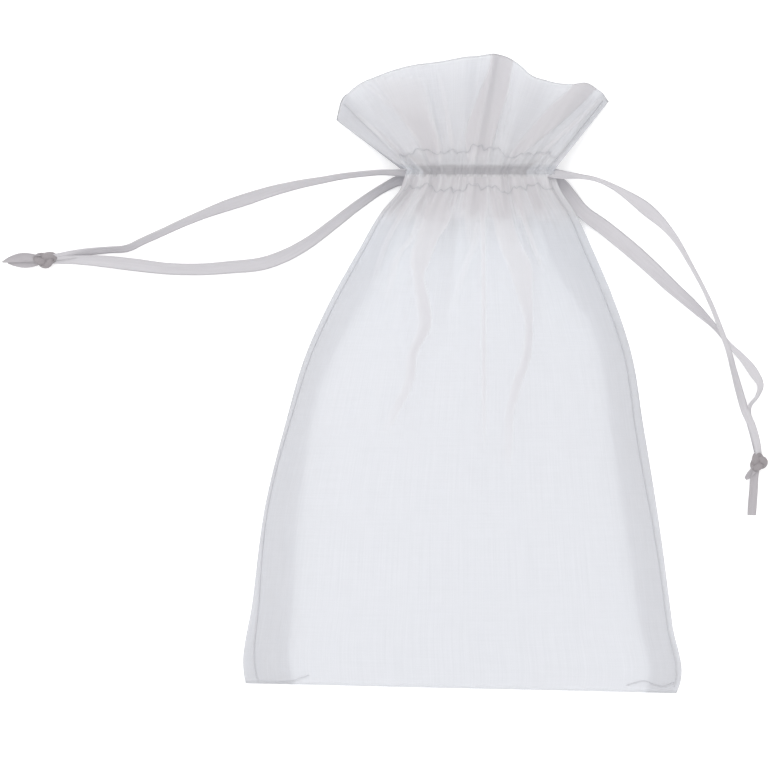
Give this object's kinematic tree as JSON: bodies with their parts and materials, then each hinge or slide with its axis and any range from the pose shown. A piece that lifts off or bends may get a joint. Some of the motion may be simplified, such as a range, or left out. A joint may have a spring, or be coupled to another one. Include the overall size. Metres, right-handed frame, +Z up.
{
  "type": "drawstring gift pouch",
  "caption": "Flat sheer organza gift pouch with sewn sides, a gathered casing, a ruffled mouth and a knotted flat ribbon loop leaving each side of the neck.",
  "frame": {"origin": "middle of the pouch's own footprint on the table, ribbons outside it not counted", "axes": "+X across the pouch to its right side, +Y from the bottom fold to the mouth, +Z up from the table through the pouch's thickness"},
  "size_m": [0.2684, 0.223, 0.0138],
  "materials": {
    "organza": "sheer plain weave",
    "ribbon": "soft satin",
    "thread": "matte"
  },
  "bodies": {
    "pouch": {"back_panel": "organza", "front_panel": "organza", "front_facing": "organza", "back_facing": "organza", "left_seam_allowance": "organza", "right_seam_allowance": "organza", "left_seam_thread": "thread", "right_seam_thread": "thread", "left_thread_tail": "thread", "right_thread_tail": "thread", "back_lower_casing_thread": "thread", "front_lower_casing_thread": "thread", "back_upper_casing_thread": "thread", "front_upper_casing_thread": "thread"},
    "left_drawstring": {"left_ribbon_in_casing": "ribbon", "left_front_strand": "ribbon", "left_back_strand": "ribbon", "left_knot": "ribbon", "left_upper_tail": "ribbon", "left_lower_tail": "ribbon"},
    "right_drawstring": {"right_ribbon_in_casing": "ribbon", "right_front_strand": "ribbon", "right_back_strand": "ribbon", "right_knot": "ribbon", "right_long_tail": "ribbon", "right_short_tail": "ribbon"}
  },
  "joints": [
    {"name": "left_drawstring_pull", "type": "slide", "parent": "pouch", "child": "left_drawstring", "axis": [-1, 0, 0], "range_m": [0, 0.004]},
    {"name": "right_drawstring_pull", "type": "slide", "parent": "pouch", "child": "right_drawstring", "axis": [1, 0, 0], "range_m": [0, 0.004]}
  ]
}
